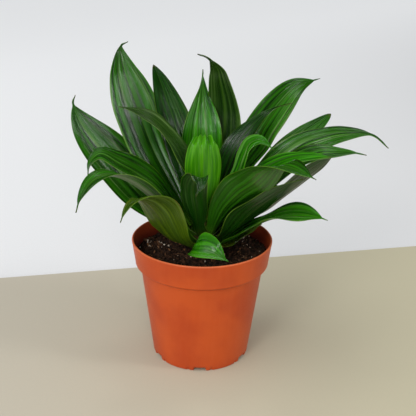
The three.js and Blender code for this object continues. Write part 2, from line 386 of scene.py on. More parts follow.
def mottle_group() -> bpy.types.NodeTree:
    """Two sizes of cloudy variation on Object coordinates, built once and shared.

    Returns:
        A group with Coarse and Fine scales in, and Cloud and Speck masks out.
    """
    existing = bpy.data.node_groups.get("mottle")
    if existing:
        return existing
    tree = new_group(
        "mottle",
        (Port("Coarse", "NodeSocketFloat", 40.0), Port("Fine", "NodeSocketFloat", 900.0)),
        (Port("Cloud", "NodeSocketFloat"), Port("Speck", "NodeSocketFloat")),
    )
    nodes = Nodes(tree)
    given, out = tree.nodes["Group Input"], tree.nodes["Group Output"]
    where = nodes.coordinates("Object")
    for output, source, detail in (("Cloud", "Coarse", 3.0), ("Speck", "Fine", 4.0)):
        node = nodes.add("ShaderNodeTexNoise")
        nodes.feed(node.inputs["Vector"], where)
        nodes.feed(node.inputs["Scale"], given.outputs[source])
        nodes.feed(node.inputs["Detail"], detail)
        nodes.feed(out.inputs[output], node.outputs[0])
    return tree


def mottle(nodes: Nodes, coarse: float, fine: float) -> bpy.types.Node:
    """Places the shared mottle group with its own scales."""
    node = nodes.add("ShaderNodeGroup", node_tree=mottle_group())
    node.inputs["Coarse"].default_value = coarse
    node.inputs["Fine"].default_value = fine
    return node


# ------------------------------------------------------------------ finishes


@dataclass(frozen=True)
class PlasticFinish:
    """Thin injection-moulded polypropylene, terracotta coloured and satin."""

    body: Colour = srgb(196, 76, 18)
    deep: Colour = srgb(180, 62, 12)
    # flow_and_highlight: pale moulding flow lines, and the painted highlight along the lip
    flow_and_highlight: Colour = srgb(224, 132, 86)
    # inside: colour of the painted shade over the inner wall
    inside: Colour = srgb(104, 34, 16)
    roughness: float = 0.42
    lip_fade: float = 1.5
    foot_fade: float = 6.0
    # inner_shade_reach: how far above the soil line the inner wall's painted shade fades to its lighter
    # level
    inner_shade_reach: float = 10.0

    def material(self, soil_line: float, top: float) -> bpy.types.Material:
        """The pot's material: cloudy tone, moulding flow lines, a painted highlight on the lip, painted
        shade towards the foot, and painted shade over the inner wall, deepest at the soil line.

        Args:
            soil_line: height in millimetres below which the inner wall's painted shade is full.
            top: height of the lip in millimetres.

        Returns:
            The material.
        """
        material, nodes, shader = new_material("terracotta_plastic")
        patches = mottle(nodes, 28.0, 1400.0)
        where = nodes.coordinates("Object")
        height = nodes.axes(where)["Z"]
        flow = nodes.noise(nodes.stretched(where, (260.0, 260.0, 14.0)), 1.0, 3.0)
        tone = nodes.mix(nodes.ramp(patches.outputs["Cloud"], 0.35, 0.65), self.deep, self.body)
        tone = nodes.mix(nodes.times(flow, 0.10), tone, self.flow_and_highlight)
        # painted highlight: the top of the lip is mixed towards the pale colour, as light falling on the
        # rim would make it
        lip = nodes.ramp(height, (top - self.lip_fade) * MM, (top + 0.2) * MM)
        tone = nodes.mix(nodes.times(lip, 0.45), tone, self.flow_and_highlight)
        # painted shade: darker towards the foot, where the pot stands on the board
        foot = nodes.ramp(height, self.foot_fade * MM, 0.0, 0.0, 0.35)
        tone = nodes.mix(foot, tone, self.deep)
        # painted shade: the inner wall is darkened throughout, fully below the soil line
        inner = nodes.attribute("inner_face")
        inner_shade_top = (soil_line + self.inner_shade_reach) * MM
        inner_shade = nodes.ramp(height, inner_shade_top, soil_line * MM, 0.45, 1.0)
        tone = nodes.mix(nodes.times(inner, inner_shade), tone, self.inside)
        nodes.feed(shader.inputs["Base Color"], tone)
        shader.inputs["Specular IOR Level"].default_value = 0.35
        gloss = nodes.ramp(patches.outputs["Speck"], 0.3, 0.7, self.roughness - 0.05,
                           self.roughness + 0.08)
        nodes.feed(shader.inputs["Roughness"], gloss)
        bump(nodes, shader, patches.outputs["Speck"], 0.10, 0.0003)
        return material


@dataclass(frozen=True)
class SoilFinish:
    """Peat-based potting mix: nearly black crumbs with brown fibres."""

    peat: Colour = srgb(30, 20, 14)
    brown: Colour = srgb(74, 48, 31)

    def material(self) -> bpy.types.Material:
        """The bed's and crumbs' material."""
        material, nodes, shader = new_material("peat")
        patches = mottle(nodes, 260.0, 1500.0)
        tint = nodes.attribute("grain_tint")
        blend = nodes.times(nodes.ramp(patches.outputs["Cloud"], 0.4, 0.75), 0.6)
        share = nodes.plus(blend, nodes.times(tint, 0.5), clamp=True)
        nodes.feed(shader.inputs["Base Color"], nodes.mix(share, self.peat, self.brown))
        shader.inputs["Roughness"].default_value = 0.9
        shader.inputs["Specular IOR Level"].default_value = 0.25
        bump(nodes, shader, patches.outputs["Speck"], 0.7, 0.0006)
        return material


@dataclass(frozen=True)
class GrainFinish:
    """Loose pieces in the mix, between two colours by each grain's own tint."""

    name: str
    pale: Colour
    dark: Colour
    roughness: float = 0.85

    def material(self) -> bpy.types.Material:
        """The grains' material, with random specks of the darker colour."""
        material, nodes, shader = new_material(self.name)
        patches = mottle(nodes, 700.0, 2600.0)
        tint = nodes.attribute("grain_tint")
        speck = nodes.ramp(patches.outputs["Speck"], 0.5, 0.75, 0.0, 0.5)
        share = nodes.plus(tint, speck, clamp=True)
        nodes.feed(shader.inputs["Base Color"], nodes.mix(share, self.pale, self.dark))
        shader.inputs["Roughness"].default_value = self.roughness
        bump(nodes, shader, patches.outputs["Cloud"], 0.5, 0.0004)
        return material


class LeafTone(Enum):
    """The tones that the rosette's leaves come in, from oldest and darkest to newest; DEEP and DUSKY also
    carry painted shade for leaves turned from the light, and VIVID painted light shining through a leaf.
    """

    DEEP = "deep"
    MID = "mid"
    BRIGHT = "bright"
    VIVID = "vivid"
    OLIVE = "olive"
    DUSKY = "dusky"


@dataclass(frozen=True)
class LeafFinish:
    """Glossy leaf skin: painted shade in the pleats' valleys and painted light on their crests, with a
    thin pale margin.
    """

    tone: LeafTone
    deep: Colour
    bright: Colour
    under: Colour
    margin: Colour = srgb(112, 150, 38)
    blemish: float = 0.0
    # highlight_streaks: strength of the pale streaks, mostly painted highlight for the glossy streaks,
    # partly the paler bands between veins
    highlight_streaks: float = 0.3
    roughness: float = 0.22

    def material(self) -> bpy.types.Material:
        """The leaf material: the blade pattern group into a coated Principled shader."""
        material, nodes, shader = new_material(f"leaf_{self.tone.value}")
        pattern = nodes.add("ShaderNodeGroup", node_tree=blade_pattern())
        for name, colour in (("Deep", self.deep), ("Bright", self.bright), ("Under", self.under),
                             ("Margin", self.margin)):
            nodes.feed(pattern.inputs[name], colour)
        pattern.inputs["Blemish"].default_value = self.blemish
        pattern.inputs["Highlight_Streaks"].default_value = self.highlight_streaks
        pattern.inputs["Gloss"].default_value = self.roughness
        nodes.feed(shader.inputs["Base Color"], pattern.outputs["Color"])
        nodes.feed(shader.inputs["Roughness"], pattern.outputs["Roughness"])
        shader.inputs["Specular IOR Level"].default_value = 0.5
        shader.inputs["Coat Weight"].default_value = 0.25
        shader.inputs["Coat Roughness"].default_value = 0.15
        bump(nodes, shader, pattern.outputs["Height"], 0.35, 0.0003)
        return material


def blade_pattern() -> bpy.types.NodeTree:
    """Leaf colouring over the blade's own map: across in u, base to tip in v.

    The colour goes from deep to bright by streaks stretched along the blade, the pleats' crests
    carry painted light and their valleys painted shade, pale painted highlight streaks run along
    the blade's middle, the margin and midrib are pale, the base is yellowish, the outermost tip
    browns, and the under face has its own matt colour.

    Returns:
        The shader group, built once.
    """
    existing = bpy.data.node_groups.get("blade_pattern")
    if existing:
        return existing
    colour, number = "NodeSocketColor", "NodeSocketFloat"
    tree = new_group(
        "blade_pattern",
        (Port("Deep", colour), Port("Bright", colour), Port("Under", colour),
         Port("Margin", colour), Port("Blemish", number, 0.0), Port("Gloss", number, 0.3),
         Port("Highlight_Streaks", number, 0.3)),
        (Port("Color", colour), Port("Roughness", number), Port("Height", number)),
    )
    nodes = Nodes(tree)
    given, out = tree.nodes["Group Input"], tree.nodes["Group Output"]
    where = nodes.coordinates("UV")
    spot = nodes.axes(where)
    across, along = spot["X"], spot["Y"]
    pleat = nodes.attribute("pleat")
    upper = nodes.attribute("upper_face")
    variety = nodes.attribute("variety")
    shift = nodes.add("ShaderNodeCombineXYZ")
    nodes.feed(shift.inputs["Z"], nodes.times(variety, 50.0))

    streak = nodes.noise(nodes.stretched(where, (14.0, 1.3, 1.0), shift.outputs[0]), 1.0, 3.0)
    hair = nodes.noise(nodes.stretched(where, (90.0, 2.5, 1.0), shift.outputs[0]), 1.0, 2.0)
    cloud = nodes.noise(nodes.stretched(where, (2.0, 3.0, 1.0), shift.outputs[0]), 1.0, 2.0)
    share = nodes.ramp(streak, 0.34, 0.66)
    share = nodes.plus(nodes.times(share, 0.55),
                       nodes.times(nodes.ramp(hair, 0.3, 0.7), 0.25))
    # painted light and shade: the pleats' crests lighter and their valleys darker
    share = nodes.plus(share, nodes.times(pleat, 0.22))
    share = nodes.plus(share, nodes.ramp(cloud, 0.3, 0.7, -0.15, 0.2), clamp=True)
    face = nodes.mix(share, given.outputs["Deep"], given.outputs["Bright"])
    lines = nodes.plus(nodes.times(nodes.ramp(hair, 0.35, 0.7), 0.4),
                       nodes.times(nodes.ramp(streak, 0.42, 0.62), 0.5))
    under = nodes.mix(lines, given.outputs["Under"], given.outputs["Bright"])
    tone = nodes.mix(upper, under, face)
    # painted highlight: pale whitish streaks over the middle of the blade stand for the glossy streaks
    # that the lamps draw on the pleats
    narrow = nodes.noise(nodes.stretched(where, (24.0, 0.9, 1.0), shift.outputs[0]), 1.0, 1.0)
    reach = nodes.times(nodes.ramp(along, 0.25, 0.55), nodes.ramp(along, 0.97, 0.75))
    pale = nodes.times(nodes.ramp(narrow, 0.52, 0.72), reach)
    pale = nodes.times(pale, nodes.ramp(cloud, 0.35, 0.6, 0.25, 1.0))
    pale = nodes.times(pale, given.outputs["Highlight_Streaks"])
    tone = nodes.mix(pale, tone, srgb(164, 202, 118))

    from_rib = nodes.math("ABSOLUTE", nodes.math("SUBTRACT", across, 0.5))
    rib = nodes.ramp(from_rib, 0.0, 0.015, 0.18, 0.0)
    tone = nodes.mix(rib, tone, given.outputs["Margin"])
    broken = nodes.ramp(cloud, 0.3, 0.7, 0.25, 0.7)
    edge = nodes.times(nodes.ramp(from_rib, 0.480, 0.497), broken)
    tone = nodes.mix(edge, tone, given.outputs["Margin"])
    sheath = nodes.ramp(along, 0.12, 0.0, 0.0, 0.2)
    tone = nodes.mix(sheath, tone, given.outputs["Margin"])
    scorch = nodes.ramp(nodes.plus(streak, nodes.times(cloud, 0.5)), 0.86, 0.98)
    scorch = nodes.times(scorch, given.outputs["Blemish"])
    tone = nodes.mix(scorch, tone, srgb(118, 84, 34))
    tip = nodes.ramp(along, 0.965, 1.0, 0.0, 0.6)
    tone = nodes.mix(tip, tone, srgb(74, 62, 26))
    nodes.feed(out.inputs["Color"], tone)

    matt = nodes.plus(given.outputs["Gloss"], nodes.ramp(cloud, 0.3, 0.7, -0.03, 0.06))
    matt = nodes.plus(matt, nodes.times(nodes.math("SUBTRACT", 1.0, upper), 0.10))
    nodes.feed(out.inputs["Roughness"], matt)
    wave = nodes.math("SINE", nodes.times(across, 330.0))
    height = nodes.plus(nodes.times(wave, 0.35), hair)
    nodes.feed(out.inputs["Height"], height)
    return tree


# painted light and shade in the tones: DEEP and DUSKY darken leaves as leaves in shade, and VIVID
# brightens the front leaf as if lit through from behind
LEAF_FINISHES = (
    LeafFinish(LeafTone.DEEP, srgb(3, 24, 0), srgb(20, 72, 3), srgb(14, 46, 2), highlight_streaks=0.08),
    LeafFinish(LeafTone.MID, srgb(6, 40, 0), srgb(46, 116, 4), srgb(26, 70, 4), highlight_streaks=0.25),
    LeafFinish(LeafTone.BRIGHT, srgb(12, 72, 0), srgb(62, 150, 6), srgb(36, 96, 8), highlight_streaks=0.35),
    LeafFinish(LeafTone.VIVID, srgb(28, 108, 0), srgb(104, 190, 12), srgb(40, 118, 4), highlight_streaks=0.1),
    LeafFinish(LeafTone.OLIVE, srgb(22, 56, 2), srgb(94, 120, 14), srgb(44, 72, 8), blemish=0.8),
    LeafFinish(LeafTone.DUSKY, srgb(16, 46, 6), srgb(52, 88, 22), srgb(44, 66, 26), highlight_streaks=0.25),
)


@dataclass(frozen=True)
class StemFinish:
    """Young fibrous stem skin, green over pale brown."""

    green: Colour = srgb(88, 104, 48)
    brown: Colour = srgb(110, 88, 56)

    def material(self) -> bpy.types.Material:
        """The stem's material, ringed by its old leaf scars."""
        material, nodes, shader = new_material("stem_skin")
        where = nodes.coordinates("Object")
        rings = nodes.noise(nodes.stretched(where, (60.0, 60.0, 700.0)), 1.0, 3.0)
        nodes.feed(shader.inputs["Base Color"],
                   nodes.mix(nodes.ramp(rings, 0.4, 0.62), self.green, self.brown))
        shader.inputs["Roughness"].default_value = 0.65
        bump(nodes, shader, rings, 0.5, 0.0005)
        return material


# ------------------------------------------------------------------ pot


@dataclass
class Pot:
    """Nursery pot: tapered wall, rolled lip, rim band with a step, and a slotted foot."""

    height: float
    rim_radius: float
    band_height: float = 19.0
    band_foot_radius: float = 51.5
    neck_radius: float = 47.5
    neck_drop: float = 3.0
    base_radius: float = 38.0
    wall: float = 1.6
    lip_round: float = 0.8
    floor_top: float = 4.2
    channel_top: float = 2.6
    foot_ring: float = 5.0
    channel_slope: float = 1.2
    pad_round: float = 0.4
    heel_round: float = 0.7
    band_round: float = 1.3
    pad_radius: float = 14.0
    drains: int = 6
    first_drain: float = 270.0
    slot_width: float = 9.0
    hole_inner: float = 20.0
    hole_outer: float = 28.0
    notch_width: float = 20.0
    notch_height: float = 3.4
    notch_depth: float = 0.7
    tab_width: float = 3.0
    columns: int = 540
    inner_start: int = 0

    def inner_radius(self, height: float) -> float:
        """Inside radius of the band at a height: straight from the step to the lip."""
        share = (height - (self.height - self.band_height)) / self.band_height
        foot = self.band_foot_radius - self.wall
        return foot + (self.rim_radius - self.wall - foot) * share

    def fillet(self, centre: tuple[float, float], radius: float, start: float, end: float,
               steps: int = 7) -> np.ndarray:
        """Points of an arc in the profile: centre plus radius times (cos, sin) from start to end."""
        angle = np.radians(np.linspace(start, end, steps))
        return np.stack([centre[0] + radius * np.cos(angle), centre[1] + radius * np.sin(angle)], -1)

    def straight(self, start: tuple[float, float], end: tuple[float, float],
                 steps: int) -> np.ndarray:
        """Evenly spaced points between two corners of the profile, the ends left out."""
        share = np.linspace(0, 1, steps + 2)[1:-1, None]
        return np.array(start) * (1 - share) + np.array(end) * share

    def profile(self) -> np.ndarray:
        """The half section, as [radius, height], from under the floor round to above it.

        Straight runs are joined by arcs at the foot, at the band's lower edge, at the neck and
        over the lip.  The row where the inner face starts is kept in inner_start.

        Returns:
            The profile's points.
        """
        top, wall, slope = self.height, self.wall, self.channel_slope
        pad, heel, band = self.pad_round, self.heel_round, self.band_round
        foot = top - self.band_height
        neck = foot - self.neck_drop
        ring = self.base_radius - self.foot_ring
        lean = math.degrees(math.atan2(self.neck_radius - self.base_radius, neck))
        outside = [
            np.array([[0.05, 0.0]]),
            self.straight((0, 0), (self.pad_radius, 0), 3),
            self.fillet((self.pad_radius, pad), pad, 270, 330, 4),
            np.array([[self.pad_radius + slope, self.channel_top], [self.hole_inner, self.channel_top],
                      [self.hole_outer, self.channel_top], [ring - slope, self.channel_top]]),
            self.fillet((ring, pad), pad, 210, 270, 4),
            self.straight((ring, 0), (self.base_radius - 0.8, 0), 3),
            self.fillet((self.base_radius - heel, heel), heel, 270, 360 - lean, 7),
            self.straight((self.base_radius + 0.1, 0.9), (self.neck_radius, neck), 56),
            self.fillet((self.neck_radius + 0.5, neck - 0.2), 0.5, 180 - lean, 110, 5),
            self.fillet((self.band_foot_radius - band, foot + 0.6), band, 290, 360 - lean, 8),
            self.straight((self.band_foot_radius, foot + 1.0),
                          (self.rim_radius - 0.1, top - 1.2), 10),
        ]
        lip = [
            self.fillet((self.rim_radius - wall / 2, top - wall / 2), wall / 2, 0, 180, 13),
        ]
        inside = [
            self.straight((self.rim_radius - wall, top - wall / 2),
                          (self.band_foot_radius - wall, foot), 10),
            self.fillet((self.band_foot_radius - wall - 1.0, foot), 1.0, 0, -50, 5),
            self.fillet((self.neck_radius - wall + 0.5, neck), 0.5, 130, 180, 4),
            self.straight((self.neck_radius - wall, neck),
                          (self.base_radius - wall, self.floor_top + 2), 14),
            self.fillet((self.base_radius - wall - 1.4, self.floor_top + 1.5), 1.5, 0, -90, 6),
            np.array([[self.hole_outer, self.floor_top], [self.hole_inner, self.floor_top],
                      [0.05, self.floor_top]]),
        ]
        self.inner_start = sum(len(part) for part in outside) + 7
        return np.concatenate(outside + lip + inside)

    def drain_distance(self, angle: np.ndarray, radius: np.ndarray) -> np.ndarray:
        """Arc length from the middle of the nearest drain, at a radius."""
        step = 2 * math.pi / self.drains
        turned = angle - math.radians(self.first_drain)
        return (turned - step * np.round(turned / step)) * radius

    def box(self, distance: np.ndarray, half: float, soft: float = 0.35) -> np.ndarray:
        """1 where distance is within half on either side of 0, with soft edges."""
        return 1 - smoothstep(half - soft, half + soft, np.abs(distance))

    def surface(self) -> Surface:
        """The wall as a function of profile row and angle, with its drains cut.

        Point = (radius cos angle, radius sin angle, height).  Round each drain the foot is pushed
        in by the notch depth apart from two tabs, and its underside is lifted to the channel's
        roof across the slot.  The quads over each drain hole are left out of the floor's two
        faces, and four strips join the faces round the hole.

        Returns:
            The closed surface.
        """
        profile = self.profile()
        rows = len(profile)
        angle = np.arange(self.columns) * 2 * math.pi / self.columns
        radius = np.repeat(profile[:, :1], self.columns, axis=1)
        height = np.repeat(profile[:, 1:], self.columns, axis=1)
        arc = self.drain_distance(angle[None, :], np.full_like(radius, self.base_radius))
        outer = (np.arange(rows) < self.inner_start)[:, None]
        low = 1 - smoothstep(self.notch_height - 0.5, self.notch_height, height)
        foot = outer & (radius > self.base_radius - 1.5)
        tab_at = self.slot_width / 2 + 0.6 + self.tab_width / 2
        tabs = self.box(np.abs(arc) - tab_at, self.tab_width / 2, 0.25)
        notch = self.box(arc, self.notch_width / 2) * (1 - tabs) * low * foot
        radius = radius - self.notch_depth * notch
        ring = outer & (radius > self.base_radius - self.foot_ring - 1.3) & (height < self.channel_top)
        slot = self.box(arc, self.slot_width / 2) * ring
        height = height + (self.channel_top - height) * slot
        points = np.stack([radius * np.cos(angle), radius * np.sin(angle), height], -1)

        quads = grid_faces(rows, self.columns, closed=True).reshape(rows - 1, self.columns, 4)
        middle = angle + math.pi / self.columns
        reach = (self.hole_inner + self.hole_outer) / 2
        hollow = np.abs(self.drain_distance(middle, np.array(reach))) < self.slot_width / 2
        is_hole = np.isclose(profile[:, 0], self.hole_inner) | np.isclose(profile[:, 0], self.hole_outer)
        below, above = np.flatnonzero(is_hole)[:2], np.flatnonzero(is_hole)[2:]
        keep = np.ones((rows - 1, self.columns), dtype=bool)
        keep[below[0], hollow] = False
        keep[above[0], hollow] = False
        faces = [quads[keep], self.hole_walls(hollow, below, above)]
        inner = np.zeros((rows, self.columns))
        inner[self.inner_start:] = 1.0
        pole = rows * self.columns
        faces.append(fan(pole, 0, self.columns, over=False))
        faces.append(fan(pole + 1, (rows - 1) * self.columns, self.columns, over=True))
        poles = np.array([[0, 0, profile[0, 1]], [0, 0, profile[-1, 1]]])
        every = np.concatenate([points.reshape(-1, 3), poles])
        mask = np.concatenate([inner.reshape(-1), [0.0, 1.0]])
        return Surface(every, faces, attributes={"inner_face": mask})

    def hole_walls(self, hollow: np.ndarray, below: np.ndarray, above: np.ndarray) -> np.ndarray:
        """Strips that join the floor's under and upper faces round every drain hole.

        Args:
            hollow: which columns are open.
            below: the under face's rows at the hole's inner and outer radius.
            above: the upper face's rows at the hole's outer and inner radius.

        Returns:
            The quads, which face into the holes.
        """
        column = np.flatnonzero(hollow)
        ahead = (column + 1) % self.columns
        under_in, under_out = below[0] * self.columns, below[1] * self.columns
        upper_out, upper_in = above[0] * self.columns, above[1] * self.columns
        near = np.stack([under_in + column, under_in + ahead, upper_in + ahead, upper_in + column], -1)
        far = np.stack([under_out + ahead, under_out + column, upper_out + column, upper_out + ahead], -1)
        first = column[~hollow[column - 1]]
        last = (column[~hollow[(column + 1) % self.columns]] + 1) % self.columns
        start = np.stack([under_out + first, under_in + first, upper_in + first, upper_out + first], -1)
        end = np.stack([under_in + last, under_out + last, upper_out + last, upper_in + last], -1)
        return np.concatenate([near, far, start, end])

    def build(self, finish: PlasticFinish, soil_line: float) -> None:
        """Makes the pot and dresses it."""
        piece = self.surface().to_object("pot_shell", sharp=38)
        place(piece, "pot_plastic", finish.material(soil_line, self.height), "pot")


# ------------------------------------------------------------------ potting mix


@dataclass
class PottingMix:
    """The bed of potting mix: a crumbly surface with loose crumbs, perlite, bark and fibres."""

    edge_radius: float
    top_height: float = 84.0
    crown_rise: float = 1.5
    bottom: float = 4.8
    bottom_radius: float = 36.0
    step_in: float = 0.9
    step_height: float = 77.5
    neck_radius: float = 45.4
    neck_height: float = 74.0
    centre_gap: float = 0.5
    roughness: float = 0.8
    rings: int = 90
    columns: int = 300
    crumbs: int = 2300
    perlite: int = 120
    bark: int = 170
    fibres: int = 46
    seed: int = 11

    def level(self, x: np.ndarray, y: np.ndarray) -> np.ndarray:
        """Height of the bed: a low crown in the middle plus seeded waves of four sizes."""
        draw = np.random.default_rng(self.seed)
        radius = np.hypot(x, y)
        height = self.top_height + self.crown_rise * (1 - radius / self.edge_radius)
        for size, swell in ((16.0, 0.55), (8.0, 0.4), (4.2, 0.3), (2.3, 0.22)):
            for _ in range(5):
                heading, phase = draw.uniform(0, 2 * math.pi, 2)
                wave = (x * math.cos(heading) + y * math.sin(heading)) / size * 2 * math.pi
                height = height + self.roughness * swell * 0.5 * np.sin(wave + phase)
        return height - 0.5

    def bed(self) -> Surface:
        """The bed: a polar height field, its side down the pot's wall, and a flat underside."""
        radius = self.edge_radius * np.linspace(0.01, 1, self.rings)
        angle = np.arange(self.columns) * 2 * math.pi / self.columns
        x = radius[:, None] * np.cos(angle)
        y = radius[:, None] * np.sin(angle)
        top = np.stack([x, y, self.level(x, y)], -1)
        sides = [
            np.stack([r * np.cos(angle), r * np.sin(angle), np.full_like(angle, z)], -1)
            for r, z in ((self.edge_radius - self.step_in, self.step_height),
                         (self.neck_radius, self.neck_height), (self.bottom_radius, self.bottom),
                         (self.centre_gap, self.bottom))
        ]
        rows = np.concatenate([top, np.stack(sides)])[::-1]
        count = len(rows)
        points = rows.reshape(-1, 3)
        caps = [fan(len(points), 0, self.columns, over=False),
                fan(len(points) + 1, (count - 1) * self.columns, self.columns, over=True)]
        crown = float(self.level(np.zeros(1), np.zeros(1))[0])
        points = np.concatenate([points, [[0, 0, self.bottom], [0, 0, crown]]])
        tint = np.zeros(len(points))
        return Surface(points, [grid_faces(count, self.columns, closed=True), *caps],
                       attributes={"grain_tint": tint})

    @staticmethod
    def solid() -> tuple[np.ndarray, np.ndarray]:
        """A unit icosahedron's points and triangles."""
        golden = (1 + 5 ** 0.5) / 2
        ring = [(-1, golden, 0), (1, golden, 0), (-1, -golden, 0), (1, -golden, 0)]
        rings = ring + [(z, x, y) for x, y, z in ring] + [(y, z, x) for x, y, z in ring]
        points = np.array(rings, float)
        points /= np.linalg.norm(points[0])
        spans = np.linalg.norm(points[:, None] - points[None], axis=-1)
        near = (spans > 0.1) & (spans < 1.2)
        triples = np.array([(a, b, c) for a in range(12) for b in range(a + 1, 12)
                            for c in range(b + 1, 12) if near[a, b] and near[b, c] and near[a, c]])
        corners = points[triples]
        turn = np.einsum("ij,ij->i", corners[:, 0], np.cross(corners[:, 1], corners[:, 2])) < 0
        triples[turn] = triples[turn][:, ::-1]
        return points, triples

    def grains(self, count: int, size: tuple[float, float], shape: tuple[float, float, float],
               sink: float, seed: int, cluster: float = 0.0, inner: float = 8.0) -> Surface:
        """Many small jittered solids strewn over the bed, as one surface.

        Each grain is an icosahedron stretched along three axes, roughened, turned at random and
        set on the bed's level, partly sunk into it.

        Args:
            count: how many grains.
            size: smallest and largest radius.
            shape: how the radius is stretched along the grain's own axes.
            sink: share of the radius that lies under the bed's level.
            seed: starts the random draws.
            cluster: 0 for an even strew, up to 1 to gather them in a few patches.
            inner: no grain is nearer the middle than this.

        Returns:
            The grains' surface with one tint a grain.
        """
        draw = np.random.default_rng(seed)
        points, triples = self.solid()
        largest = self.edge_radius - size[1] * 0.8
        reach = np.sqrt(draw.uniform(inner ** 2, largest ** 2, count))
        angle = draw.uniform(0, 2 * math.pi, count)
        pull = cluster * np.sin(3 * angle + 1.1) / 3
        x, y = reach * np.cos(angle + pull), reach * np.sin(angle + pull)
        radius = size[0] + (size[1] - size[0]) * draw.power(0.6, count)[:, None, None] ** 1.5
        local = points[None] * np.array(shape) * radius
        local = local * draw.uniform(0.72, 1.25, (count, 12, 1))
        spin = draw.normal(size=(count, 4))
        w, i, j, k = (spin / np.linalg.norm(spin, axis=1, keepdims=True)).T
        turn = np.stack([
            np.stack([1 - 2 * (j * j + k * k), 2 * (i * j - k * w), 2 * (i * k + j * w)], -1),
            np.stack([2 * (i * j + k * w), 1 - 2 * (i * i + k * k), 2 * (j * k - i * w)], -1),
            np.stack([2 * (i * k - j * w), 2 * (j * k + i * w), 1 - 2 * (i * i + j * j)], -1),
        ], axis=1)
        turned = np.einsum("nij,npj->npi", turn, local)
        centre = np.stack([x, y, self.level(x, y) + (1 - 2 * sink) * radius[:, 0, 0] * 0.6], -1)
        everywhere = (turned + centre[:, None]).reshape(-1, 3)
        faces = (triples[None] + 12 * np.arange(count)[:, None, None]).reshape(-1, 3)
        tint = np.repeat(draw.uniform(0, 1, count), 12)
        return Surface(everywhere, [faces], attributes={"grain_tint": tint})

    def strands(self) -> Surface:
        """Thin fibres: a six-sided tube along a gently bent line for each, as one surface.

        A fibre's centre is its start plus heading times length plus a sideways bow; the tube's
        ring at each of eight stations shrinks to nothing at both ends.

        Returns:
            The fibres' surface.
        """
        draw = np.random.default_rng(self.seed + 5)
        sides, stations = 6, 8
        along = np.linspace(0, 1, stations)
        reach = np.sqrt(draw.uniform(12 ** 2, (self.edge_radius - 6) ** 2, self.fibres))
        place_at, heading = draw.uniform(0, 2 * math.pi, (2, self.fibres))
        length = draw.uniform(3.5, 9, self.fibres)
        bow = draw.normal(0, 1.2, self.fibres)
        start = np.stack([reach * np.cos(place_at), reach * np.sin(place_at)], -1)
        ahead = np.stack([np.cos(heading), np.sin(heading)], -1)
        sideways = np.stack([-ahead[:, 1], ahead[:, 0]], -1)
        level = start[:, None] + ahead[:, None] * (length[:, None] * (along - 0.5))[..., None]
        level = level + sideways[:, None] * (bow[:, None] * np.sin(math.pi * along))[..., None]
        far = np.hypot(level[..., 0], level[..., 1])
        level = level * np.minimum(1, (self.edge_radius - 1) / far)[..., None]
        lift = self.level(level[..., 0], level[..., 1]) + 0.5 + 0.5 * np.sin(math.pi * along)
        centre = np.concatenate([level, lift[..., None]], -1)
        round_angle = np.arange(sides) * 2 * math.pi / sides
        radius = 0.16 * np.sqrt(np.clip(np.sin(math.pi * (0.04 + 0.92 * along)), 0, 1))
        across = np.concatenate([sideways, np.zeros((self.fibres, 1))], -1)
        ring = (across[:, None, None] * np.cos(round_angle)[None, None, :, None]
                + np.array([0, 0, 1.0]) * np.sin(round_angle)[None, None, :, None])
        points = centre[:, :, None] + ring * radius[None, :, None, None]
        one = grid_faces(stations, sides, closed=True)
        cap = np.arange(sides)
        ends = np.stack([cap[::-1], cap + (stations - 1) * sides])
        shift = stations * sides * np.arange(self.fibres)[:, None, None]
        tint = np.repeat(draw.uniform(0, 1, self.fibres), stations * sides)
        return Surface(points.reshape(-1, 3),
                       [(one[None] + shift).reshape(-1, 4), (ends[None] + shift).reshape(-1, sides)],
                       attributes={"grain_tint": tint}).facing_out()

    def build(self) -> None:
        """Makes the bed and everything strewn on it."""
        peat = SoilFinish().material()
        place(self.bed().to_object("mix_bed"), "potting_mix", peat, "potting_mix")
        crumbs = self.grains(self.crumbs, (0.5, 1.9), (1.0, 0.85, 0.7), 0.35, self.seed + 1)
        place(crumbs.to_object("mix_crumbs", sharp=50), "potting_mix", peat)
        perlite = self.grains(self.perlite, (0.45, 1.25), (1.0, 0.9, 0.8), 0.1, self.seed + 2, 0.9)
        white = GrainFinish("perlite", srgb(226, 214, 196), srgb(170, 138, 112))
        place(perlite.to_object("mix_perlite"), "potting_mix", white.material())
        bark = self.grains(self.bark, (0.8, 2.1), (1.2, 0.55, 0.3), 0.25, self.seed + 3)
        brown = GrainFinish("bark", srgb(132, 88, 52), srgb(62, 36, 20))
        place(bark.to_object("mix_bark", sharp=40), "potting_mix", brown.material())
        straw = GrainFinish("fibre", srgb(150, 112, 70), srgb(84, 56, 32))
        place(self.strands().to_object("mix_fibres"), "potting_mix", straw.material())


# ------------------------------------------------------------------ stem


@dataclass
class Stem:
    """Short stem in the heart of the rosette, ringed where its leaves clasp it."""

    root_depth: float = 56.0
    tip_height: float = 126.0
    collar_radius: float = 7.5
    neck_radius: float = 5.5
    ring_step: float = 2.6
    rows: int = 120
    columns: int = 48

    def surface(self) -> Surface:
        """Radius along the height: root to collar to neck to a rounded tip, times a ring ripple."""
        share = np.linspace(0, 1, self.rows)
        height = self.root_depth + (self.tip_height - self.root_depth) * share
        marks = [self.root_depth, self.root_depth + 4, 82, 102, 118, self.tip_height]
        radius = np.interp(height, marks, [0.3, 5.0, self.collar_radius, self.collar_radius,
                                           self.neck_radius, 0.3])
        ripple = 1 + 0.04 * np.abs(np.sin(math.pi * height / self.ring_step))
        angle = np.arange(self.columns) * 2 * math.pi / self.columns
        wide = (radius * ripple)[:, None] * 0.97
        points = np.stack([wide * np.cos(angle), wide * np.sin(angle),
                           np.repeat(height[:, None], self.columns, axis=1)], -1)
        ends = np.stack([np.arange(self.columns)[::-1],
                         np.arange(self.columns) + (self.rows - 1) * self.columns])
        return Surface(points.reshape(-1, 3), [grid_faces(self.rows, self.columns, True), ends])

    def build(self, finish: StemFinish) -> None:
        """Makes the stem and dresses it."""
        place(self.surface().facing_out().to_object("stem_core"), "stem", finish.material(), "stem")


# ------------------------------------------------------------------ leaves


